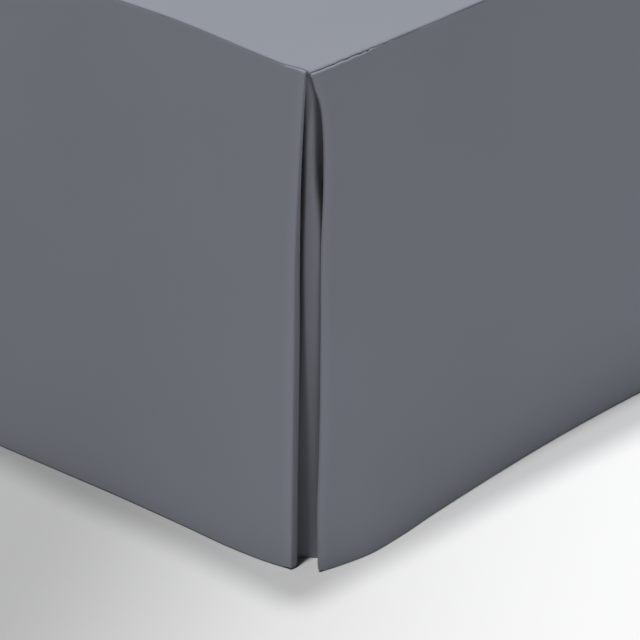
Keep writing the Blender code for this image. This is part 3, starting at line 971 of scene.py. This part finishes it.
def sew(name, rows, tree, material):
    """Stitches as one plain mesh. Each row is its line, its step and the length of a stitch."""
    threads = bmesh.new()
    for line, step, length in rows:
        guide_mesh = bpy.data.meshes.new("guide")
        guide_mesh.from_pydata(line, [(i, i + 1) for i in range(len(line) - 1)], [])
        guide = bpy.data.objects.new("guide", guide_mesh)
        bpy.context.scene.collection.objects.link(guide)
        sewing = guide.modifiers.new("stitches", "NODES")
        sewing.node_group = tree
        sizes = {
            "Step": step, "Length": length, "Thread": THREAD, "Turn": STITCH_TURN, "Seed": STITCH_SEED,
            "Material": material,
        }
        for item in tree.interface.items_tree:
            if item.name in sizes:
                sewing[item.identifier] = sizes[item.name]
        sewn = bpy.data.meshes.new_from_object(guide.evaluated_get(bpy.context.evaluated_depsgraph_get()))
        threads.from_mesh(sewn)
        bpy.data.objects.remove(guide)
        bpy.data.meshes.remove(guide_mesh)
        bpy.data.meshes.remove(sewn)
    mesh = bpy.data.meshes.new(name)
    threads.to_mesh(mesh)
    threads.free()
    mesh.materials.clear()
    mesh.materials.append(material)
    piece = bpy.data.objects.new(name, mesh)
    bpy.context.scene.collection.objects.link(piece)
    return piece


def floor_material():
    """A pale studio floor, greyer to the left of the near foot corner than to its right: a painted gradient
    of light and shade.
    """
    material, tree, shader = new_material("pale_floor", 0.8)
    link = tree.links.new
    place = node(tree, "ShaderNodeTexCoord")
    turn = node(tree, "ShaderNodeMapping")
    turn.vector_type = "TEXTURE"
    turn.inputs["Location"].default_value = corner_point()
    turn.inputs["Rotation"].default_value = (0, 0, CAMERA_AZIMUTH - FLOOR_TURN)
    link(place.outputs["Object"], turn.inputs["Vector"])
    split = node(tree, "ShaderNodeSeparateXYZ")
    link(turn.outputs["Vector"], split.inputs["Vector"])
    ramp = node(tree, "ShaderNodeValToRGB")
    ramp.color_ramp.interpolation = "B_SPLINE"
    stops = ramp.color_ramp.elements
    for share, grey in FLOOR_PAINTED_LIGHT[:-1]:
        stop = stops[0] if share == FLOOR_PAINTED_LIGHT[0][0] else stops.new(share)
        stop.position = share
        stop.color = (grey, grey, grey * FLOOR_COOL, 1)
    share, grey = FLOOR_PAINTED_LIGHT[-1]
    stops[-1].position = share
    stops[-1].color = (grey, grey, grey * FLOOR_COOL, 1)
    spread = node(tree, "ShaderNodeMapRange")
    spread.inputs["From Min"].default_value = -FLOOR_SPREAD
    spread.inputs["From Max"].default_value = FLOOR_SPREAD
    link(split.outputs["X"], spread.inputs["Value"])
    link(spread.outputs["Result"], ramp.inputs["Fac"])
    link(ramp.outputs["Color"], shader.inputs["Base Color"])
    return material


def make_floor():
    mesh = bpy.data.meshes.new("floor")
    corners = [(x * FLOOR_HALF, y * FLOOR_HALF, 0) for x, y in ((-1, -1), (1, -1), (1, 1), (-1, 1))]
    mesh.from_pydata(corners, [], [(0, 1, 2, 3)])
    mesh.materials.append(floor_material())
    floor = bpy.data.objects.new("floor", mesh)
    bpy.context.scene.collection.objects.link(floor)


def corner_point():
    return Vector((MIDDLE_X + BED_WIDTH / 2, FOOT_Y, PLATFORM_TOP))


def make_camera():
    """Stands at the photo's angle to the near foot corner, which stays at its column."""
    data = bpy.data.cameras.new("camera")
    data.sensor_width = SENSOR
    data.lens = FOCAL_PIXELS / PICTURE * SENSOR
    data.clip_start = 0.1
    data.clip_end = 200
    camera = bpy.data.objects.new("camera", data)
    bpy.context.scene.collection.objects.link(camera)
    bpy.context.scene.camera = camera
    away = Vector((math.sin(CAMERA_AZIMUTH), -math.cos(CAMERA_AZIMUTH), math.tan(CAMERA_RISE)))
    camera.location = corner_point() + away * CAMERA_DISTANCE
    aside = (PICTURE / 2 - CORNER_COLUMN) / (FOCAL_PIXELS * math.cos(CAMERA_PITCH))
    heading = CAMERA_AZIMUTH - aside
    look = Vector((
        -math.sin(heading) * math.cos(CAMERA_PITCH),
        math.cos(heading) * math.cos(CAMERA_PITCH),
        -math.sin(CAMERA_PITCH),
    ))
    camera.rotation_euler = look.to_track_quat("-Z", "Y").to_euler()


def make_lights():
    """Soft studio light from nearly overhead: one light behind the corner and one before it."""
    world = bpy.data.worlds.new("studio")
    world.use_nodes = True
    background = world.node_tree.nodes["Background"]
    background.inputs["Color"].default_value = (1, 1, 1, 1)
    background.inputs["Strength"].default_value = SKY
    bpy.context.scene.world = world
    for name, (east, north), strength, softness in LIGHTS:
        data = bpy.data.lights.new(name, "SUN")
        data.energy = strength
        data.color = LAMP_COLOUR
        data.angle = math.radians(softness)
        light = bpy.data.objects.new(name, data)
        light.rotation_euler = Vector((east, north, -1)).to_track_quat("-Z", "Y").to_euler()
        bpy.context.scene.collection.objects.link(light)


def dress_base():
    """Gives the frame's base and legs their materials."""
    cover = base_cover_material()
    beech = leg_material()
    for item in bpy.data.objects:
        if item.name == "bed_base" or item.name.startswith("leg_"):
            for slot in item.material_slots:
                slot.material = cover if item.name == "bed_base" else beech


def main():
    cloth = microfibre()
    thread = thread_material()
    stitches = stitch_tree()
    platform = platform_sheet(cloth)
    made = [(platform, "platform", [(platform_line(), STRAIGHT_STEP, STRAIGHT_LENGTH)])]
    drops = {
        "foot_drop": foot_stops(),
        "side_drop_near": side_stops(NEAR),
        "side_drop_far": side_stops(FAR),
    }
    head_lines = {"side_drop_near": head_line(NEAR), "side_drop_far": head_line(FAR)}
    for solid, stops in drops.items():
        rows = [(hem_line(stops, back_ways(stops)), BLIND_STEP, BLIND_LENGTH)]
        if solid in head_lines:
            rows.append((head_lines[solid], STRAIGHT_STEP, STRAIGHT_LENGTH))
        made.append((drop_sheet(f"skirt_{solid}", stops, cloth), solid, rows))
    for piece, solid, rows in made:
        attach(piece, "root")
        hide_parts(solid)
        sewn = sew(f"{piece.name}_stitches", rows, stitches, thread)
        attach(sewn, "root")
    dress_base()
    make_floor()
    make_camera()
    make_lights()
    bpy.context.scene.view_settings.view_transform = "Standard"


main()
